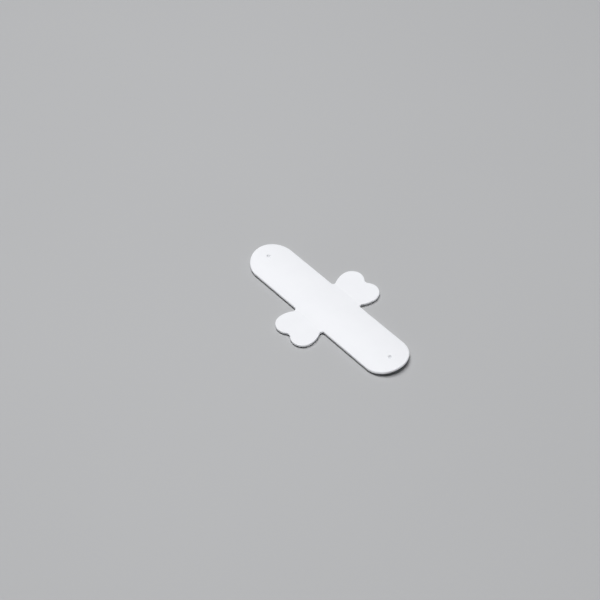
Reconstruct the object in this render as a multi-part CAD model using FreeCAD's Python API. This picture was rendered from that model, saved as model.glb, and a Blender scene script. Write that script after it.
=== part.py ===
import FreeCAD, Part
import math
import os

from FreeCAD import Vector

# Flexible phone holder: a silicone strip with two heart-shaped wings, a sprung steel
# band moulded inside it and an adhesive pad under each wing.
# The strip runs along X, the wings point along Y, and the pads stand on Z = 0.

# Driving dimensions, in millimetres

# Strip
strip_length = 73.8
strip_width = 16.2
crown_height = 1.2  # rise of the strip's middle above its long edges

# Layers, from the bottom up
pad_thickness = 0.6
skin_thickness = 0.3  # silicone on each side of the band
band_thickness = 0.2

# Wings
wing_reach = 10.35  # from the strip's edge to the tips of the lobes
wing_width = 16.5
neck_width = 11.5  # wing's width where its flanks meet the strip's edge, without the hollow corners
lobe_radius = 4.4
neck_radius = 0.9  # hollow corner between the wing and the strip
notch_radius = 1.8  # dip between the two lobes
wing_root_radius = 1.2  # bend from the arched strip to the flat wing, at mid-thickness
wing_root_offset = 0.2  # where that bend starts, outside the strip's edge

# Rim, band, pin marks and pads
edge_radius = 0.3  # upper rim; the lower rim is the sharp parting edge of the mould
band_margin = 2.0  # silicone left all round the band
pin_mark_diameter = 1.0
pin_mark_inset = 5.5  # from the strip's tip to the centre of a pin mark
pad_inset = 1.4  # from the wing's outline to the pad's
pad_corner_radius = 0.6

# Excess that the trimming cuts away, and the upward share that tells skin from wall
trim_allowance = 1.0
least_skin_slope = 0.5

# Values that follow from the driving dimensions
half_length = strip_length / 2
half_width = strip_width / 2
thickness = 2 * skin_thickness + band_thickness
lobe_x = wing_width / 2 - lobe_radius
lobe_y = half_width + wing_reach - lobe_radius
flank_bulge = (wing_width - neck_width) / 2
flank_radius = (flank_bulge**2 + (lobe_y - half_width) ** 2) / (2 * flank_bulge)
flank_x = wing_width / 2 - flank_radius
arch_radius = (half_width**2 + crown_height**2) / (2 * crown_height)
root_angle = math.acos((half_width + wing_root_offset) / arch_radius)
wing_middle_z = pad_thickness + thickness / 2
root_z = wing_middle_z + wing_root_radius
arch_z = root_z - (arch_radius + wing_root_radius) * math.sin(root_angle)
root_y = (arch_radius + wing_root_radius) * math.cos(root_angle)
half_span = half_width + wing_reach
crown_z = arch_z + arch_radius
pin_mark_x = half_length - pin_mark_inset


def plan(x, y):
    """A point of an outline seen from above."""
    return Vector(x, y, 0)


def section(y, z):
    """A point of the cross-section, seen along the strip."""
    return Vector(0, y, z)


def arc(place, centre, radius, start, end):
    """An arc about a centre, between two angles in radians."""
    points = []
    for angle in (start, (start + end) / 2, end):
        u = centre[0] + radius * math.cos(angle)
        v = centre[1] + radius * math.sin(angle)
        points.append(place(u, v))
    return Part.Arc(*points).toShape()


def angle_to(start, end):
    """The direction from one point to another, in radians."""
    return math.atan2(end[1] - start[1], end[0] - start[0])


def mirrored(edges, normal):
    """The edges and their mirror images across the plane through the origin."""
    return edges + [edge.mirror(Vector(0, 0, 0), normal) for edge in edges]


def closed_face(edges):
    """A flat face bounded by edges that join end to end."""
    return Part.Face(Part.Wire(Part.__sortEdges__(edges)))


def standing_prism(edges, bottom, top):
    """A solid with a plan outline, between two heights."""
    face = closed_face(edges)
    face.translate(Vector(0, 0, bottom))
    return face.extrude(Vector(0, 0, top - bottom)).removeSplitter()


def long_prism(edges, length):
    """A solid with a cross-section, centred along the strip."""
    face = closed_face(edges)
    face.translate(Vector(-length / 2, 0, 0))
    return face.extrude(Vector(length, 0, 0))


def strip_end(inset):
    """Half of the round end of the strip, or of an outline set in from it."""
    return arc(plan, (half_length - half_width, 0), half_width - inset, 0, math.pi / 2)


def wing_arcs(inset, flank_start):
    """Flank, lobe and notch of half a wing, set in from the wing's outline."""
    notch_y = lobe_y + math.sqrt((lobe_radius + notch_radius) ** 2 - lobe_x**2)
    lobe = (lobe_x, lobe_y)
    notch = (0, notch_y)
    return [
        arc(plan, (flank_x, lobe_y), flank_radius - inset, flank_start, 0),
        arc(plan, lobe, lobe_radius - inset, 0, angle_to(lobe, notch)),
        arc(plan, notch, notch_radius + inset, angle_to(notch, lobe), -math.pi / 2),
    ]


def holder_outline():
    """Outline of the whole holder: two round ends, two straight sides and two wings."""
    flank = (flank_x, lobe_y)
    neck_y = half_width + neck_radius
    neck_x = flank_x + math.sqrt((flank_radius + neck_radius) ** 2 - (lobe_y - neck_y) ** 2)
    neck = (neck_x, neck_y)
    quarter = [
        strip_end(0),
        Part.makeLine(plan(half_length - half_width, half_width), plan(neck_x, half_width)),
        arc(plan, neck, neck_radius, angle_to(neck, flank), 3 * math.pi / 2),
    ]
    quarter += wing_arcs(0, angle_to(flank, neck))
    return mirrored(mirrored(quarter, Vector(1, 0, 0)), Vector(0, 1, 0))


def band_outline():
    """Outline of the band: the strip's own outline, set in all round."""
    side_y = half_width - band_margin
    quarter = [
        strip_end(band_margin),
        Part.makeLine(plan(half_length - half_width, side_y), plan(0, side_y)),
    ]
    return mirrored(mirrored(quarter, Vector(1, 0, 0)), Vector(0, 1, 0))


def pad_outline():
    """Outline of a pad: the wing's own outline, set in, with a straight inner side."""
    inner_y = half_width + pad_inset
    reach = math.sqrt((flank_radius - pad_inset) ** 2 - (lobe_y - inner_y) ** 2)
    corner = (flank_x + reach, inner_y)
    quarter = wing_arcs(pad_inset, angle_to((flank_x, lobe_y), corner))
    quarter.append(Part.makeLine(plan(*corner), plan(0, inner_y)))
    return mirrored(quarter, Vector(1, 0, 0))


def sheet_surface(offset):
    """Section line of the holder, at an offset above its mid-thickness."""
    wing_z = wing_middle_z + offset
    root = arc(section, (root_y, root_z), wing_root_radius - offset, root_angle + math.pi, 3 * math.pi / 2)
    wing = Part.makeLine(section(root_y, wing_z), section(half_span + trim_allowance, wing_z))
    arch = arc(section, (0, arch_z), arch_radius + offset, root_angle, math.pi - root_angle)
    return mirrored([root, wing], Vector(0, 1, 0)) + [arch]


def holder_section():
    """Closed cross-section: an arch between two flat wings, of even thickness."""
    side_y = half_span + trim_allowance
    low = section(side_y, wing_middle_z - thickness / 2)
    high = section(side_y, wing_middle_z + thickness / 2)
    sides = mirrored([Part.makeLine(low, high)], Vector(0, 1, 0))
    return sheet_surface(thickness / 2) + sheet_surface(-thickness / 2) + sides


def band_section():
    """Closed cross-section of the band: part of a thin ring, inside the arch."""
    inner = arch_radius - band_thickness / 2
    outer = arch_radius + band_thickness / 2
    side_angle = math.acos(half_width / arch_radius)
    arcs = []
    ends = []
    for radius in (inner, outer):
        arcs.append(arc(section, (0, arch_z), radius, side_angle, math.pi - side_angle))
        ends.append(section(radius * math.cos(side_angle), arch_z + radius * math.sin(side_angle)))
    return arcs + mirrored([Part.makeLine(*ends)], Vector(0, 1, 0))


def upward(face):
    """How far a face points up: 1 for a level top, 0 for an upright wall."""
    u_low, u_high, v_low, v_high = face.ParameterRange
    return face.normalAt((u_low + u_high) / 2, (v_low + v_high) / 2).z


def rim_edges(sheet):
    """Edges between the upright wall and the upper skin."""
    rims = []
    for edge in sheet.Edges:
        slopes = sorted(upward(face) for face in sheet.ancestorsOfType(edge, Part.Face))
        if abs(slopes[0]) < least_skin_slope < slopes[-1]:
            rims.append(edge)
    return rims


def spring_band():
    """Arched steel band with round ends, in the middle of the silicone."""
    ring = long_prism(band_section(), strip_length)
    trim = standing_prism(band_outline(), 0, crown_z + trim_allowance)
    return ring.common(trim).Solids[0]


def pin_mark(x):
    """Upright cutter for the marks left above and below the band by a pair of mould pins."""
    height = crown_z + thickness + trim_allowance
    return Part.makeCylinder(pin_mark_diameter / 2, height, plan(x, 0))


def silicone_body(band):
    """Strip and wings in one moulding, with the band's cavity and the pin marks."""
    sheet = long_prism(holder_section(), strip_length + 2 * trim_allowance)
    trim = standing_prism(holder_outline(), 0, crown_z + thickness + trim_allowance)
    blank = sheet.common(trim).Solids[0]
    rim_radius = min(edge_radius, thickness / 2)
    rounded = blank.makeFillet(rim_radius, rim_edges(blank))
    marks = [pin_mark(-pin_mark_x), pin_mark(pin_mark_x)]
    return rounded.cut([band] + marks).Solids[0]


def adhesive_pad(side):
    """Pad under one wing: side is 1 for the +Y wing and -1 for the -Y wing."""
    pad = standing_prism(pad_outline(), 0, pad_thickness)
    inner_y = half_width + pad_inset
    corners = []
    for edge in pad.Edges:
        upright = abs(edge.tangentAt(edge.FirstParameter).z) > least_skin_slope
        if upright and edge.CenterOfMass.y < inner_y + pad_corner_radius / 2:
            corners.append(edge)
    pad = pad.makeFillet(pad_corner_radius, corners).Solids[0]
    if side < 0:
        pad = pad.mirror(Vector(0, 0, 0), Vector(0, 1, 0))
    return pad


def main():
    band = spring_band()
    parts = {
        "silicone_body": silicone_body(band),
        "spring_band": band,
        "left_adhesive_pad": adhesive_pad(-1),
        "right_adhesive_pad": adhesive_pad(1),
    }
    os.makedirs("parts", exist_ok=True)
    for name, shape in parts.items():
        shape.exportStep(os.path.join("parts", name + ".step"))


if __name__ == "__main__":
    main()
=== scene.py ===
"""Looks of a flexible silicone phone holder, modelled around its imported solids."""

import math

import bmesh
import bpy
from bpy.props import FloatProperty, FloatVectorProperty, PointerProperty
from bpy.types import Operator, Panel, PropertyGroup
from mathutils import Matrix, Vector


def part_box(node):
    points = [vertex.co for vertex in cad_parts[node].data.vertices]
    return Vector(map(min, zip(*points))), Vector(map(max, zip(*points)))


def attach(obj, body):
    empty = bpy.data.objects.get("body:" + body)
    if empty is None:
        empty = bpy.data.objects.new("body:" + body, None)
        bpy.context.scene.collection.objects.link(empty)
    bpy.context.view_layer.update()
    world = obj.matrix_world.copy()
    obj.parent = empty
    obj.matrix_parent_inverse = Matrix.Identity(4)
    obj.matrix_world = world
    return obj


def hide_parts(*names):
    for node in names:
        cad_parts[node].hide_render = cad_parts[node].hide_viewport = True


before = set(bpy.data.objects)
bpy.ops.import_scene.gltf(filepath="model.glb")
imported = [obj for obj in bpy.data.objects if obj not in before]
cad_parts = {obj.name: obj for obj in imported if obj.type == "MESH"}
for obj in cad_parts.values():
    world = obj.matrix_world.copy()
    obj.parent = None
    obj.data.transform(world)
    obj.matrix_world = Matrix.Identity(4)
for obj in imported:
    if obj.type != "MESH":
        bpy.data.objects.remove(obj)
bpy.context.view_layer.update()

bl_info = {
    "name": "Silicone Phone Holder",
    "version": (1, 0, 0),
    "blender": (4, 5, 0),
    "location": "View3D > Sidebar > Phone Holder",
    "description": "Models a flexible silicone phone holder around its solids",
    "category": "Add Mesh",
}

# Meshes are modelled in millimetres and scaled to metres when they are finished
MM = 0.001
MERGE_DISTANCE = 1e-4
CUT_TOLERANCE = 0.02
SMALLEST_SIZE = 0.001

# Smoothness of the outlines and rounded edges
ARC_SAG = 0.001
FEWEST_ARC_STEPS = 6
RIM_SEGMENTS = 5
FINE_RIM_SEGMENTS = 3
SUPPORT_RING = 0.1

# Pin marks: cuts in each side of a mark's cell, the share of the cell that borders the mark,
# and how far the mark's floor lies below the band's surface, so that the steel shows
MARK_CUTS = 8
MARK_BORDER = 0.1
MARK_SINK = 0.05

# Spacing of the lines that divide the flat sheet before it is arched
LINES_ALONG = 2.0
LINES_ACROSS = 0.5
ROOT_LINES = 8

# The range that most values of a noise texture lie in
NOISE_LOW = 0.35
NOISE_HIGH = 0.65

# Studio, in metres: the floor, the light overhead and the low panels around the holder
FLOOR_RADIUS = 1.4
FLOOR_SEGMENTS = 96
FLOOR_SHADE = 0.985
OVERHEAD_SIZE = (0.32, 0.8)
OVERHEAD_PLACE = (-0.12, 0.0, 1.0)
LOW_PANEL_SIZE = (1.87, 0.133)
LOW_PANEL_DISTANCE = 1.6
LOW_PANEL_HEIGHT = 0.073
ROOM_COLOUR = (0.97, 0.98, 1.0)
CAMERA_CLIP = 0.01


def millimetres(corner):
    """A point of the frame, in millimetres."""
    return corner / MM


def node_points(node):
    """All corner points of a solid, in millimetres."""
    return [millimetres(vertex.co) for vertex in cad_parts[node].data.vertices]


def reach(points, axis, other_axis, beyond):
    """The furthest point along one axis, among those past a distance along the other."""
    return max(abs(point[axis]) for point in points if abs(point[other_axis]) > beyond)


# Sizes read from the solids
BODY_LOW, BODY_HIGH = map(millimetres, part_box("silicone_body"))
BAND_LOW, BAND_HIGH = map(millimetres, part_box("spring_band"))
PAD_LOW, PAD_HIGH = map(millimetres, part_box("right_adhesive_pad"))
BODY_POINTS = node_points("silicone_body")
STRIP_HALF_WIDTH = reach(BODY_POINTS, 1, 0, BODY_HIGH.x / 2)
WING_HALF_WIDTH = reach(BODY_POINTS, 0, 1, PAD_LOW.y)
WING_TOP = max(point.z for point in BODY_POINTS if point.y > PAD_LOW.y)


def size(name, description, default):
    """A length that a user can change, in millimetres."""
    return FloatProperty(
        name=name, description=description, default=default, min=SMALLEST_SIZE, precision=3
    )


def tint(name, description, default):
    """A colour that a user can change."""
    return FloatVectorProperty(
        name=name, description=description, default=default, subtype="COLOR", min=0.0, max=1.0
    )


def turn(name, description, degrees):
    """An angle that a user can change."""
    return FloatProperty(
        name=name, description=description, default=math.radians(degrees), subtype="ANGLE"
    )


def watts(name, description, default):
    """The power of a light, which a user can change."""
    return FloatProperty(name=name, description=description, default=default, min=0.0, unit="POWER")


class HolderSizes(PropertyGroup):
    """Sizes of the holder, in millimetres."""

    strip_length: size("Strip length", "Length of the strip over its round ends", 2 * BODY_HIGH.x)
    strip_width: size("Strip width", "Width of the strip seen from above", 2 * STRIP_HALF_WIDTH)
    crown_height: size("Crown height", "Rise of the strip's middle above its long edges", 1.2)
    thickness: size(
        "Thickness", "Thickness of the silicone, with the band in it", WING_TOP - BODY_LOW.z
    )
    skin: size("Skin", "Silicone above the band", BODY_HIGH.z - BAND_HIGH.z)
    wing_reach: size(
        "Wing reach", "From the strip's edge to the lobes' tips", BODY_HIGH.y - STRIP_HALF_WIDTH
    )
    wing_width: size("Wing width", "Width of a wing at its widest", 2 * WING_HALF_WIDTH)
    lobe_radius: size("Lobe radius", "Radius of the two lobes of a wing", 4.4)
    neck_width: size("Neck width", "Width of a wing where its sides meet the strip's edge", 11.5)
    neck_radius: size("Neck radius", "Hollow corner between a wing and the strip", 0.9)
    notch_radius: size("Notch radius", "Dip between the two lobes of a wing", 1.8)
    root_radius: size(
        "Root radius", "Bend from the arched strip to a flat wing, at mid-thickness", 1.2
    )
    root_offset: size("Root offset", "Where that bend starts, outside the strip's edge", 0.2)
    rim_radius: size("Rim radius", "Rounding of the upper rim", 0.3)
    parting_radius: size("Parting radius", "Rounding of the lower rim", 0.04)
    mark_radius: size("Pin mark radius", "Radius of the marks left by the mould's pins", 0.56)
    mark_lip: size("Pin mark lip", "Rounding of a pin mark's edge", 0.24)
    mark_inset: size("Pin mark inset", "From the strip's tip to a pin mark", 5.5)
    mark_cell: size("Pin mark cell", "Half the square of sheet around a pin mark", 0.95)
    pad_thickness: size("Pad thickness", "Thickness of an adhesive pad", PAD_HIGH.z - PAD_LOW.z)
    pad_inset: size("Pad inset", "From a wing's outline to its pad's", PAD_LOW.y - STRIP_HALF_WIDTH)
    pad_corner: size("Pad corner", "Radius of a pad's two inner corners", 0.6)
    pad_edge: size("Pad edge", "Rounding of a pad's cut edges", 0.06)


class HolderFinish(PropertyGroup):
    """Colours of the holder."""

    silicone: tint("Silicone", "White silicone", (0.865, 0.875, 0.906))
    silicone_shade: tint("Silicone shade", "Faintly greyer silicone", (0.855, 0.865, 0.897))
    steel: tint("Steel", "Cold-rolled spring steel", (0.62, 0.63, 0.645))
    steel_shade: tint("Steel shade", "Rolling marks in the steel", (0.50, 0.51, 0.525))
    foam: tint("Foam", "Pale grey adhesive foam", (0.68, 0.69, 0.68))
    foam_pore: tint("Foam pore", "Pores in the foam", (0.52, 0.53, 0.52))
    floor: tint("Floor", "Pale floor", (0.455, 0.46, 0.47))


class HolderStudio(PropertyGroup):
    """Camera and lights."""

    azimuth: turn("Azimuth", "Camera's direction about the holder", 54.4)
    elevation: turn("Elevation", "Camera's height above the floor, as an angle", 47.67)
    roll: turn("Roll", "Camera's turn about its own line of sight", -5.93)
    distance: FloatProperty(
        name="Distance", description="From the camera to its aim", default=0.60471, unit="LENGTH"
    )
    aim: FloatVectorProperty(
        name="Aim", description="Point on the floor in the picture's middle",
        default=(-0.01005, -0.00385, 0.0), subtype="XYZ", unit="LENGTH",
    )
    lens: FloatProperty(
        name="Lens", description="Focal length in millimetres", default=106.9, min=1.0
    )
    overhead_power: watts("Overhead power", "Soft light above the holder", 11.1)
    near_power: watts("Near power", "Low panel beyond the strip's near tip", 5.7)
    far_power: watts("Far power", "Low panel beyond the strip's far tip", 2.5)
    left_power: watts("Left power", "Low panel beyond the left wing", 3.55)
    right_power: watts("Right power", "Low panel beyond the right wing", 0.9)
    ambient: FloatProperty(
        name="Ambient", description="Strength of the room's even light", default=0.01, min=0.0
    )


def angle_to(start, end):
    """The direction from one flat point to another."""
    return math.atan2(end[1] - start[1], end[0] - start[0])


class Pen:
    """Draws a flat outline with lines and arcs, in millimetres."""

    def __init__(self, bm, x, y):
        self.bm = bm
        self.tip = bm.verts.new((x, y, 0.0))

    def line_to(self, x, y):
        extruded = bmesh.ops.extrude_vert_indiv(self.bm, verts=[self.tip])
        self.tip = extruded["verts"][0]
        step = Vector((x, y, 0.0)) - self.tip.co
        bmesh.ops.translate(self.bm, verts=[self.tip], vec=step)

    def arc(self, centre, angle):
        # A chord across an angle sags by about radius * angle ** 2 / 8 below its arc
        radius = (self.tip.co.xy - Vector(centre)).length
        widest_step = math.sqrt(8 * ARC_SAG / radius)
        steps = max(FEWEST_ARC_STEPS, round(abs(angle) / widest_step))
        spun = bmesh.ops.spin(
            self.bm, geom=[self.tip], cent=(*centre, 0.0), axis=(0.0, 0.0, 1.0),
            angle=angle, steps=steps,
        )
        self.tip = next(item for item in spun["geom_last"] if isinstance(item, bmesh.types.BMVert))


class Layout:
    """Places that follow from the holder's sizes."""

    def __init__(self, sizes):
        self.half_length = sizes.strip_length / 2
        self.half_width = sizes.strip_width / 2
        self.lobe_y = self.half_width + sizes.wing_reach - sizes.lobe_radius
        self.lobe = (sizes.wing_width / 2 - sizes.lobe_radius, self.lobe_y)
        bulge = (sizes.wing_width - sizes.neck_width) / 2
        self.flank_radius = (bulge**2 + (self.lobe_y - self.half_width) ** 2) / (2 * bulge)
        self.flank = (sizes.wing_width / 2 - self.flank_radius, self.lobe_y)
        notch_rise = math.sqrt((sizes.lobe_radius + sizes.notch_radius) ** 2 - self.lobe[0] ** 2)
        self.notch = (0.0, self.lobe_y + notch_rise)
        self.mark_x = self.half_length - sizes.mark_inset
        self.arch_radius = (self.half_width**2 + sizes.crown_height**2) / (2 * sizes.crown_height)
        self.root_angle = math.acos((self.half_width + sizes.root_offset) / self.arch_radius)
        self.wing_z = sizes.pad_thickness + sizes.thickness / 2
        self.root_z = self.wing_z + sizes.root_radius
        bend = self.arch_radius + sizes.root_radius
        self.root_y = bend * math.cos(self.root_angle)
        self.arch_z = self.root_z - bend * math.sin(self.root_angle)
        self.root_radius = sizes.root_radius

    def height(self, y, offset):
        """Height of the arched sheet at a distance from its centre line, off its mid-thickness."""
        y = abs(y)
        arch_radius = self.arch_radius + offset
        if y < arch_radius * math.cos(self.root_angle):
            return self.arch_z + math.sqrt(arch_radius**2 - y**2)
        if y < self.root_y:
            bend_radius = self.root_radius - offset
            return self.root_z - math.sqrt(bend_radius**2 - (self.root_y - y) ** 2)
        return self.wing_z + offset


def draw_wing_side(pen, layout, flank_start):
    """Half of a wing's outline: flank, lobe and notch."""
    pen.arc(layout.flank, -flank_start)
    pen.arc(layout.lobe, angle_to(layout.lobe, layout.notch))
    pen.arc(layout.notch, -math.pi / 2 - angle_to(layout.notch, layout.lobe))


def draw_holder_quarter(bm, sizes, layout):
    """A quarter of the holder's outline, from the strip's tip to the notch of a wing."""
    pen = Pen(bm, layout.half_length, 0.0)
    pen.arc((layout.half_length - layout.half_width, 0.0), math.pi / 2)
    neck_y = layout.half_width + sizes.neck_radius
    drop = layout.lobe_y - neck_y
    neck_x = layout.flank[0] + math.sqrt((layout.flank_radius + sizes.neck_radius) ** 2 - drop**2)
    neck = (neck_x, neck_y)
    pen.line_to(neck_x, layout.half_width)
    pen.arc(neck, angle_to(neck, layout.flank) - 3 * math.pi / 2)
    draw_wing_side(pen, layout, angle_to(layout.flank, neck))


def draw_pad_half(bm, sizes, layout):
    """Half of a pad's outline, from the middle of its inner side to its notch."""
    inner_y = layout.half_width + sizes.pad_inset
    corner_y = inner_y + sizes.pad_corner
    drop = layout.lobe_y - corner_y
    flank_radius = layout.flank_radius - sizes.pad_inset
    corner_x = layout.flank[0] + math.sqrt((flank_radius - sizes.pad_corner) ** 2 - drop**2)
    corner = (corner_x, corner_y)
    flank_start = angle_to(layout.flank, corner)
    pen = Pen(bm, 0.0, inner_y)
    pen.line_to(corner_x, inner_y)
    pen.arc(corner, math.pi / 2 + flank_start)
    draw_wing_side(pen, layout, flank_start)


def mirror_outline(bm, axes):
    """Completes an outline by mirroring it across one or two axes."""
    for axis in axes:
        geometry = bm.verts[:] + bm.edges[:]
        bmesh.ops.mirror(bm, geom=geometry, matrix=Matrix(), merge_dist=MERGE_DISTANCE, axis=axis)
    bmesh.ops.remove_doubles(bm, verts=bm.verts, dist=MERGE_DISTANCE)


def raise_plate(bm, thickness):
    """Fills the outline and gives it a thickness, standing on zero height."""
    bmesh.ops.contextual_create(bm, geom=bm.edges[:])
    raised = bmesh.ops.extrude_face_region(bm, geom=bm.faces[:])
    verts = [item for item in raised["geom"] if isinstance(item, bmesh.types.BMVert)]
    bmesh.ops.translate(bm, verts=verts, vec=(0.0, 0.0, thickness))
    bmesh.ops.recalc_face_normals(bm, faces=bm.faces)


def level_faces(bm, z):
    """The flat faces at a height."""
    return [face for face in bm.faces if abs(face.calc_center_median().z - z) < MERGE_DISTANCE]


def largest_face(bm, z):
    """The largest flat face at a height."""
    return max(level_faces(bm, z), key=lambda face: face.calc_area())


def nearest_face(bm, point):
    """The flat face at a point's height whose middle is nearest to the point."""
    faces = level_faces(bm, point.z)
    return min(faces, key=lambda face: (face.calc_center_median() - point).length)


def round_rim(bm, z, radius, segments):
    """Rounds the rim of the flat face at a height, and keeps the face's shading flat up to it."""
    rim = largest_face(bm, z).edges[:]
    bmesh.ops.bevel(
        bm, geom=rim, offset=radius, segments=segments, profile=0.5, affect="EDGES", material=-1
    )
    face = largest_face(bm, z)
    bmesh.ops.inset_region(bm, faces=[face], thickness=SUPPORT_RING, use_even_offset=True)


def cut_line(bm, point, normal):
    """Divides every face along an upright plane."""
    geometry = bm.verts[:] + bm.edges[:] + bm.faces[:]
    bmesh.ops.bisect_plane(
        bm, geom=geometry, dist=CUT_TOLERANCE, plane_co=point, plane_no=normal
    )


def divide_sheet(bm, sizes, layout):
    """Divides the sheet finely across its arch, with a square cell around each pin mark."""
    cell = sizes.mark_cell
    line_count = math.ceil(layout.half_width / LINES_ACROSS)
    lines = [cell + LINES_ACROSS * step for step in range(line_count)]
    lines = [y for y in lines if y < layout.half_width - sizes.rim_radius]
    root_start = layout.half_width + sizes.root_offset
    root_step = (layout.root_y - root_start) / ROOT_LINES
    lines += [root_start + root_step * step for step in range(ROOT_LINES + 1)]
    for y in lines:
        for side in (-1, 1):
            cut_line(bm, (0.0, side * y, 0.0), (0.0, 1.0, 0.0))
    column_count = math.floor(layout.half_length / LINES_ALONG)
    columns = [LINES_ALONG * step for step in range(column_count)]
    columns = [x for x in columns if abs(x - layout.mark_x) > cell + SUPPORT_RING]
    columns += [layout.mark_x - cell, layout.mark_x + cell]
    for x in sorted(set(columns + [-x for x in columns])):
        cut_line(bm, (x, 0.0, 0.0), (1.0, 0.0, 0.0))


def sink_pin_mark(bm, x, z, depth, sizes):
    """Sinks a round mark with a soft lip into its cell; a negative depth sinks it upwards."""
    centre = Vector((x, 0.0, z))
    bmesh.ops.subdivide_edges(bm, edges=nearest_face(bm, centre).edges[:], cuts=MARK_CUTS)
    floor = nearest_face(bm, centre)
    bmesh.ops.inset_individual(bm, faces=[floor], thickness=sizes.mark_cell * MARK_BORDER)
    outer_radius = sizes.mark_radius + sizes.mark_lip
    for vert in floor.verts:
        vert.co = centre + (vert.co - centre).normalized() * outer_radius
    inward = math.copysign(1.0, -depth)
    for segment in range(1, RIM_SEGMENTS + 1):
        angle = segment / RIM_SEGMENTS * math.pi / 2
        radius = outer_radius - sizes.mark_lip * math.sin(angle)
        height = z + inward * sizes.mark_lip * (1 - math.cos(angle))
        bmesh.ops.inset_region(bm, faces=[floor], thickness=MERGE_DISTANCE, use_even_offset=True)
        for vert in floor.verts:
            side = Vector((vert.co.x - x, vert.co.y, 0.0)).normalized()
            vert.co = Vector((x, 0.0, height)) + side * radius
    bmesh.ops.inset_region(bm, faces=[floor], thickness=MERGE_DISTANCE)
    for vert in floor.verts:
        vert.co.z = z - depth
    bmesh.ops.inset_region(bm, faces=[floor], thickness=SUPPORT_RING)


def arch_sheet(bm, sizes, layout):
    """Bends the flat sheet to its arch and lifts it onto its pads."""
    for vert in bm.verts:
        vert.co.z = layout.height(vert.co.y, vert.co.z - sizes.thickness / 2)


def finish_piece(bm, name, node, material):
    """Turns a modelled mesh into a piece of the holder, in metres, in the place of its solid."""
    bmesh.ops.recalc_face_normals(bm, faces=bm.faces)
    bmesh.ops.scale(bm, vec=(MM, MM, MM), verts=bm.verts)
    for face in bm.faces:
        face.smooth = True
    mesh = bpy.data.meshes.new(name)
    bm.to_mesh(mesh)
    bm.free()
    mesh.materials.append(material)
    piece = bpy.data.objects.new(name, mesh)
    bpy.context.scene.collection.objects.link(piece)
    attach(piece, "root")
    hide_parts(node)


def add_node(tree, kind, inputs=None, **settings):
    """Adds a shader node, with its settings and plain input values."""
    node = tree.nodes.new(kind)
    for name, value in settings.items():
        setattr(node, name, value)
    for name, value in (inputs or {}).items():
        node.inputs[name].default_value = value
    return node


def grain_group():
    """Fine moulded grain and broad cloudiness, shared by the soft materials and the floor."""
    name = "Moulded grain"
    if name in bpy.data.node_groups:
        return bpy.data.node_groups[name]
    group = bpy.data.node_groups.new(name, "ShaderNodeTree")
    for socket, direction, kind in (
        ("Vector", "INPUT", "NodeSocketVector"),
        ("Grain Scale", "INPUT", "NodeSocketFloat"),
        ("Cloud Scale", "INPUT", "NodeSocketFloat"),
        ("Grain", "OUTPUT", "NodeSocketFloat"),
        ("Cloud", "OUTPUT", "NodeSocketFloat"),
    ):
        group.interface.new_socket(socket, in_out=direction, socket_type=kind)
    start = add_node(group, "NodeGroupInput")
    end = add_node(group, "NodeGroupOutput")
    grain = add_node(group, "ShaderNodeTexNoise", {"Detail": 3.0, "Roughness": 0.6})
    cloud = add_node(group, "ShaderNodeTexNoise", {"Detail": 2.0, "Roughness": 0.5})
    for noise, output in ((grain, "Grain"), (cloud, "Cloud")):
        group.links.new(start.outputs["Vector"], noise.inputs["Vector"])
        group.links.new(start.outputs[output + " Scale"], noise.inputs["Scale"])
        group.links.new(noise.outputs["Fac"], end.inputs[output])
    return group


class Finish:
    """A material whose colour, roughness and relief vary over the surface."""

    def __init__(self, name, shader_values):
        self.material = bpy.data.materials.new(name)
        self.material.use_nodes = True
        self.tree = self.material.node_tree
        self.shader = self.tree.nodes["Principled BSDF"]
        for socket, value in shader_values.items():
            self.shader.inputs[socket].default_value = value
        self.place = add_node(self.tree, "ShaderNodeTexCoord").outputs["Object"]

    def link(self, output, socket):
        self.tree.links.new(output, socket)

    def grain(self, grain_scale, cloud_scale):
        group = add_node(self.tree, "ShaderNodeGroup", node_tree=grain_group())
        group.inputs["Grain Scale"].default_value = grain_scale
        group.inputs["Cloud Scale"].default_value = cloud_scale
        self.link(self.place, group.inputs["Vector"])
        return group

    def stretched(self, scale):
        mapping = add_node(self.tree, "ShaderNodeMapping", {"Scale": scale})
        self.link(self.place, mapping.inputs["Vector"])
        return mapping.outputs["Vector"]

    def ramp(self, value, low, high, from_low=NOISE_LOW, from_high=NOISE_HIGH):
        spread = add_node(
            self.tree, "ShaderNodeMapRange",
            {"From Min": from_low, "From Max": from_high, "To Min": low, "To Max": high},
        )
        self.link(value, spread.inputs["Value"])
        return spread.outputs["Result"]

    def colour(self, value, low, high):
        mix = add_node(self.tree, "ShaderNodeMix", data_type="RGBA")
        sides = [socket for socket in mix.inputs if socket.type == "RGBA"]
        sides[0].default_value = (*low, 1.0)
        sides[1].default_value = (*high, 1.0)
        self.link(self.ramp(value, 0.0, 1.0), mix.inputs["Factor"])
        result = next(socket for socket in mix.outputs if socket.type == "RGBA")
        self.link(result, self.shader.inputs["Base Color"])

    def roughness(self, value, low, high):
        self.link(self.ramp(value, low, high), self.shader.inputs["Roughness"])

    def relief(self, value, depth, strength):
        bump = add_node(self.tree, "ShaderNodeBump", {"Distance": depth, "Strength": strength})
        self.link(value, bump.inputs["Height"])
        self.link(bump.outputs["Normal"], self.shader.inputs["Normal"])


def silicone_finish(colours):
    """Matte white silicone with a fine moulded grain."""
    finish = Finish("White silicone", {"IOR": 1.41})
    grain = finish.grain(grain_scale=5200.0, cloud_scale=160.0)
    finish.colour(grain.outputs["Cloud"], colours.silicone_shade, colours.silicone)
    finish.roughness(grain.outputs["Grain"], low=0.56, high=0.68)
    finish.relief(grain.outputs["Grain"], depth=0.00001, strength=0.25)
    return finish.material


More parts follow.
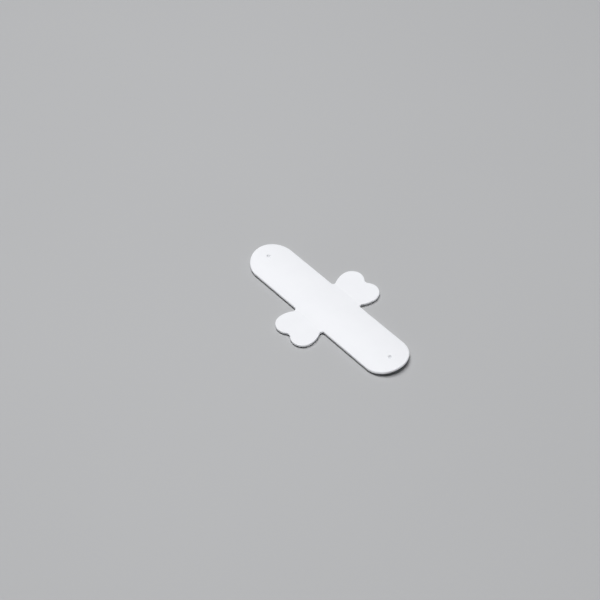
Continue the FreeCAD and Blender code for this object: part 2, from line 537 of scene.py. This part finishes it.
def steel_finish(colours):
    """Spring steel with rolling marks along the band."""
    finish = Finish("Spring steel", {"Metallic": 1.0})
    marks = add_node(finish.tree, "ShaderNodeTexNoise", {"Scale": 900.0, "Detail": 4.0})
    finish.link(finish.stretched(scale=(0.05, 1.0, 1.0)), marks.inputs["Vector"])
    finish.colour(marks.outputs["Fac"], colours.steel_shade, colours.steel)
    finish.roughness(marks.outputs["Fac"], low=0.74, high=0.62)
    finish.relief(marks.outputs["Fac"], depth=0.000004, strength=0.3)
    return finish.material


def foam_finish(colours):
    """Pale grey adhesive foam with closed pores and a tacky skin."""
    finish = Finish("Adhesive foam", {"IOR": 1.47, "Coat Weight": 0.25, "Coat Roughness": 0.3})
    grain = finish.grain(grain_scale=2600.0, cloud_scale=300.0)
    pores = add_node(finish.tree, "ShaderNodeTexVoronoi", {"Scale": 3200.0})
    finish.link(finish.place, pores.inputs["Vector"])
    openness = finish.ramp(
        pores.outputs["Distance"], low=0.2, high=0.9, from_low=0.1, from_high=0.5
    )
    finish.colour(openness, colours.foam_pore, colours.foam)
    finish.roughness(grain.outputs["Cloud"], low=0.42, high=0.6)
    finish.relief(pores.outputs["Distance"], depth=0.00002, strength=0.5)
    return finish.material


def floor_finish(colours):
    """Pale even floor with the faintest cloudiness."""
    finish = Finish("Pale floor", {"Specular IOR Level": 0.3})
    grain = finish.grain(grain_scale=900.0, cloud_scale=6.0)
    shade = [channel * FLOOR_SHADE for channel in colours.floor]
    finish.colour(grain.outputs["Cloud"], shade, colours.floor)
    finish.roughness(grain.outputs["Grain"], low=0.62, high=0.7)
    return finish.material


class PHONE_HOLDER_OT_silicone_body(Operator):
    """Model the silicone strip and its wings, with their arch and pin marks"""

    bl_idname = "phone_holder.silicone_body"
    bl_label = "Silicone body"

    def execute(self, context):
        sizes = context.scene.holder_sizes
        layout = Layout(sizes)
        bm = bmesh.new()
        draw_holder_quarter(bm, sizes, layout)
        mirror_outline(bm, "XY")
        raise_plate(bm, sizes.thickness)
        round_rim(bm, sizes.thickness, sizes.rim_radius, RIM_SEGMENTS)
        round_rim(bm, 0.0, sizes.parting_radius, FINE_RIM_SEGMENTS)
        divide_sheet(bm, sizes, layout)
        depth = sizes.skin + MARK_SINK
        for x in (-layout.mark_x, layout.mark_x):
            sink_pin_mark(bm, x, sizes.thickness, depth, sizes)
            sink_pin_mark(bm, x, 0.0, -depth, sizes)
        arch_sheet(bm, sizes, layout)
        material = silicone_finish(context.scene.holder_finish)
        finish_piece(bm, "silicone_body_skin", "silicone_body", material)
        return {"FINISHED"}


class PHONE_HOLDER_OT_adhesive_pads(Operator):
    """Model the die-cut adhesive pad under each wing"""

    bl_idname = "phone_holder.adhesive_pads"
    bl_label = "Adhesive pads"

    def execute(self, context):
        sizes = context.scene.holder_sizes
        layout = Layout(sizes)
        material = foam_finish(context.scene.holder_finish)
        for side, turned in (("right", 0.0), ("left", math.pi)):
            bm = bmesh.new()
            draw_pad_half(bm, sizes, layout)
            mirror_outline(bm, "X")
            raise_plate(bm, sizes.pad_thickness)
            round_rim(bm, sizes.pad_thickness, sizes.pad_edge, FINE_RIM_SEGMENTS)
            round_rim(bm, 0.0, sizes.pad_edge, FINE_RIM_SEGMENTS)
            rotation = Matrix.Rotation(turned, 3, "Z")
            bmesh.ops.rotate(bm, verts=bm.verts, cent=(0.0, 0.0, 0.0), matrix=rotation)
            finish_piece(
                bm, side + "_pad_foam", side + "_adhesive_pad", material
            )
        return {"FINISHED"}


class PHONE_HOLDER_OT_spring_band(Operator):
    """Give the band inside the silicone its rolled steel finish"""

    bl_idname = "phone_holder.spring_band"
    bl_label = "Spring band"

    def execute(self, context):
        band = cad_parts["spring_band"]
        band.data.materials.clear()
        band.data.materials.append(steel_finish(context.scene.holder_finish))
        return {"FINISHED"}


def add_panel(name, power, width, height, place):
    """A flat soft light at a place, facing the holder."""
    lamp = bpy.data.lights.new(name, "AREA")
    lamp.shape = "RECTANGLE"
    lamp.size = width
    lamp.size_y = height
    lamp.energy = power
    panel = bpy.data.objects.new(name, lamp)
    panel.location = place
    panel.rotation_euler = place.to_track_quat("Z", "Y").to_euler()
    panel.visible_camera = False
    bpy.context.scene.collection.objects.link(panel)


def add_lights(studio):
    """A soft light overhead, long side along the strip, and low panels on four sides."""
    add_panel("overhead", studio.overhead_power, *OVERHEAD_SIZE, Vector(OVERHEAD_PLACE))
    for name, power, x, y in (
        ("near", studio.near_power, 1.0, 0.0),
        ("far", studio.far_power, -1.0, 0.0),
        ("left", studio.left_power, 0.0, -1.0),
        ("right", studio.right_power, 0.0, 1.0),
    ):
        place = Vector((x * LOW_PANEL_DISTANCE, y * LOW_PANEL_DISTANCE, LOW_PANEL_HEIGHT))
        add_panel(name, power, *LOW_PANEL_SIZE, place)


def add_camera(studio):
    """The camera, turned about the aim by its azimuth, elevation and roll."""
    azimuth, elevation = studio.azimuth, studio.elevation
    back = Vector((
        math.sin(azimuth) * math.cos(elevation),
        -math.cos(azimuth) * math.cos(elevation),
        math.sin(elevation),
    ))
    level = Vector((math.cos(azimuth), math.sin(azimuth), 0.0))
    right = Matrix.Rotation(studio.roll, 3, back) @ level
    up = back.cross(right)
    place = Vector(studio.aim) + studio.distance * back
    camera = bpy.data.objects.new("Camera", bpy.data.cameras.new("Camera"))
    camera.data.lens = studio.lens
    camera.data.clip_start = CAMERA_CLIP
    camera.matrix_world = Matrix((right, up, back)).transposed().to_4x4()
    camera.location = place
    bpy.context.scene.collection.objects.link(camera)
    bpy.context.scene.camera = camera


def light_room(studio, colours):
    """Faint even light from the room, which shows as a pale backdrop where it is seen."""
    world = bpy.data.worlds.new("Room")
    world.use_nodes = True
    tree = world.node_tree
    room = tree.nodes["Background"]
    room.inputs["Color"].default_value = (*ROOM_COLOUR, 1.0)
    room.inputs["Strength"].default_value = studio.ambient
    backdrop = add_node(tree, "ShaderNodeBackground", {"Color": (*colours.floor, 1.0)})
    rays = add_node(tree, "ShaderNodeLightPath")
    seen = rays.outputs["Is Camera Ray"]
    for kind in ("Is Glossy Ray", "Is Transmission Ray"):
        either = add_node(tree, "ShaderNodeMath", operation="MAXIMUM")
        tree.links.new(seen, either.inputs[0])
        tree.links.new(rays.outputs[kind], either.inputs[1])
        seen = either.outputs["Value"]
    mix = add_node(tree, "ShaderNodeMixShader")
    tree.links.new(seen, mix.inputs["Fac"])
    for shader, socket in ((room, mix.inputs[1]), (backdrop, mix.inputs[2])):
        tree.links.new(shader.outputs["Background"], socket)
    tree.links.new(mix.outputs["Shader"], tree.nodes["World Output"].inputs["Surface"])
    bpy.context.scene.world = world


class PHONE_HOLDER_OT_stage(Operator):
    """Set the pale floor, the soft lights and the camera"""

    bl_idname = "phone_holder.stage"
    bl_label = "Stage"

    def execute(self, context):
        scene = context.scene
        studio = scene.holder_studio
        bm = bmesh.new()
        bmesh.ops.create_circle(bm, cap_ends=True, radius=FLOOR_RADIUS, segments=FLOOR_SEGMENTS)
        mesh = bpy.data.meshes.new("floor")
        bm.to_mesh(mesh)
        bm.free()
        mesh.materials.append(floor_finish(scene.holder_finish))
        floor = bpy.data.objects.new("floor", mesh)
        scene.collection.objects.link(floor)
        add_lights(studio)
        light_room(studio, scene.holder_finish)
        scene.view_settings.view_transform = "Standard"
        add_camera(studio)
        return {"FINISHED"}


class PHONE_HOLDER_PT_sidebar(Panel):
    """Lists the pieces of the holder and their sizes and colours"""

    bl_idname = "PHONE_HOLDER_PT_sidebar"
    bl_label = "Phone Holder"
    bl_space_type = "VIEW_3D"
    bl_region_type = "UI"
    bl_category = "Phone Holder"

    def draw(self, context):
        for step in STEPS:
            self.layout.operator(step.bl_idname)
        scene = context.scene
        for group in (scene.holder_sizes, scene.holder_finish, scene.holder_studio):
            box = self.layout.box()
            for name in group.__annotations__:
                box.prop(group, name)


STEPS = (
    PHONE_HOLDER_OT_silicone_body,
    PHONE_HOLDER_OT_adhesive_pads,
    PHONE_HOLDER_OT_spring_band,
    PHONE_HOLDER_OT_stage,
)
CLASSES = (HolderSizes, HolderFinish, HolderStudio, *STEPS, PHONE_HOLDER_PT_sidebar)


def register():
    for cls in CLASSES:
        bpy.utils.register_class(cls)
    bpy.types.Scene.holder_sizes = PointerProperty(type=HolderSizes)
    bpy.types.Scene.holder_finish = PointerProperty(type=HolderFinish)
    bpy.types.Scene.holder_studio = PointerProperty(type=HolderStudio)


def unregister():
    del bpy.types.Scene.holder_studio
    del bpy.types.Scene.holder_finish
    del bpy.types.Scene.holder_sizes
    for cls in reversed(CLASSES):
        bpy.utils.unregister_class(cls)


def main():
    register()
    bpy.ops.phone_holder.silicone_body()
    bpy.ops.phone_holder.adhesive_pads()
    bpy.ops.phone_holder.spring_band()
    bpy.ops.phone_holder.stage()


if __name__ == "__main__":
    main()
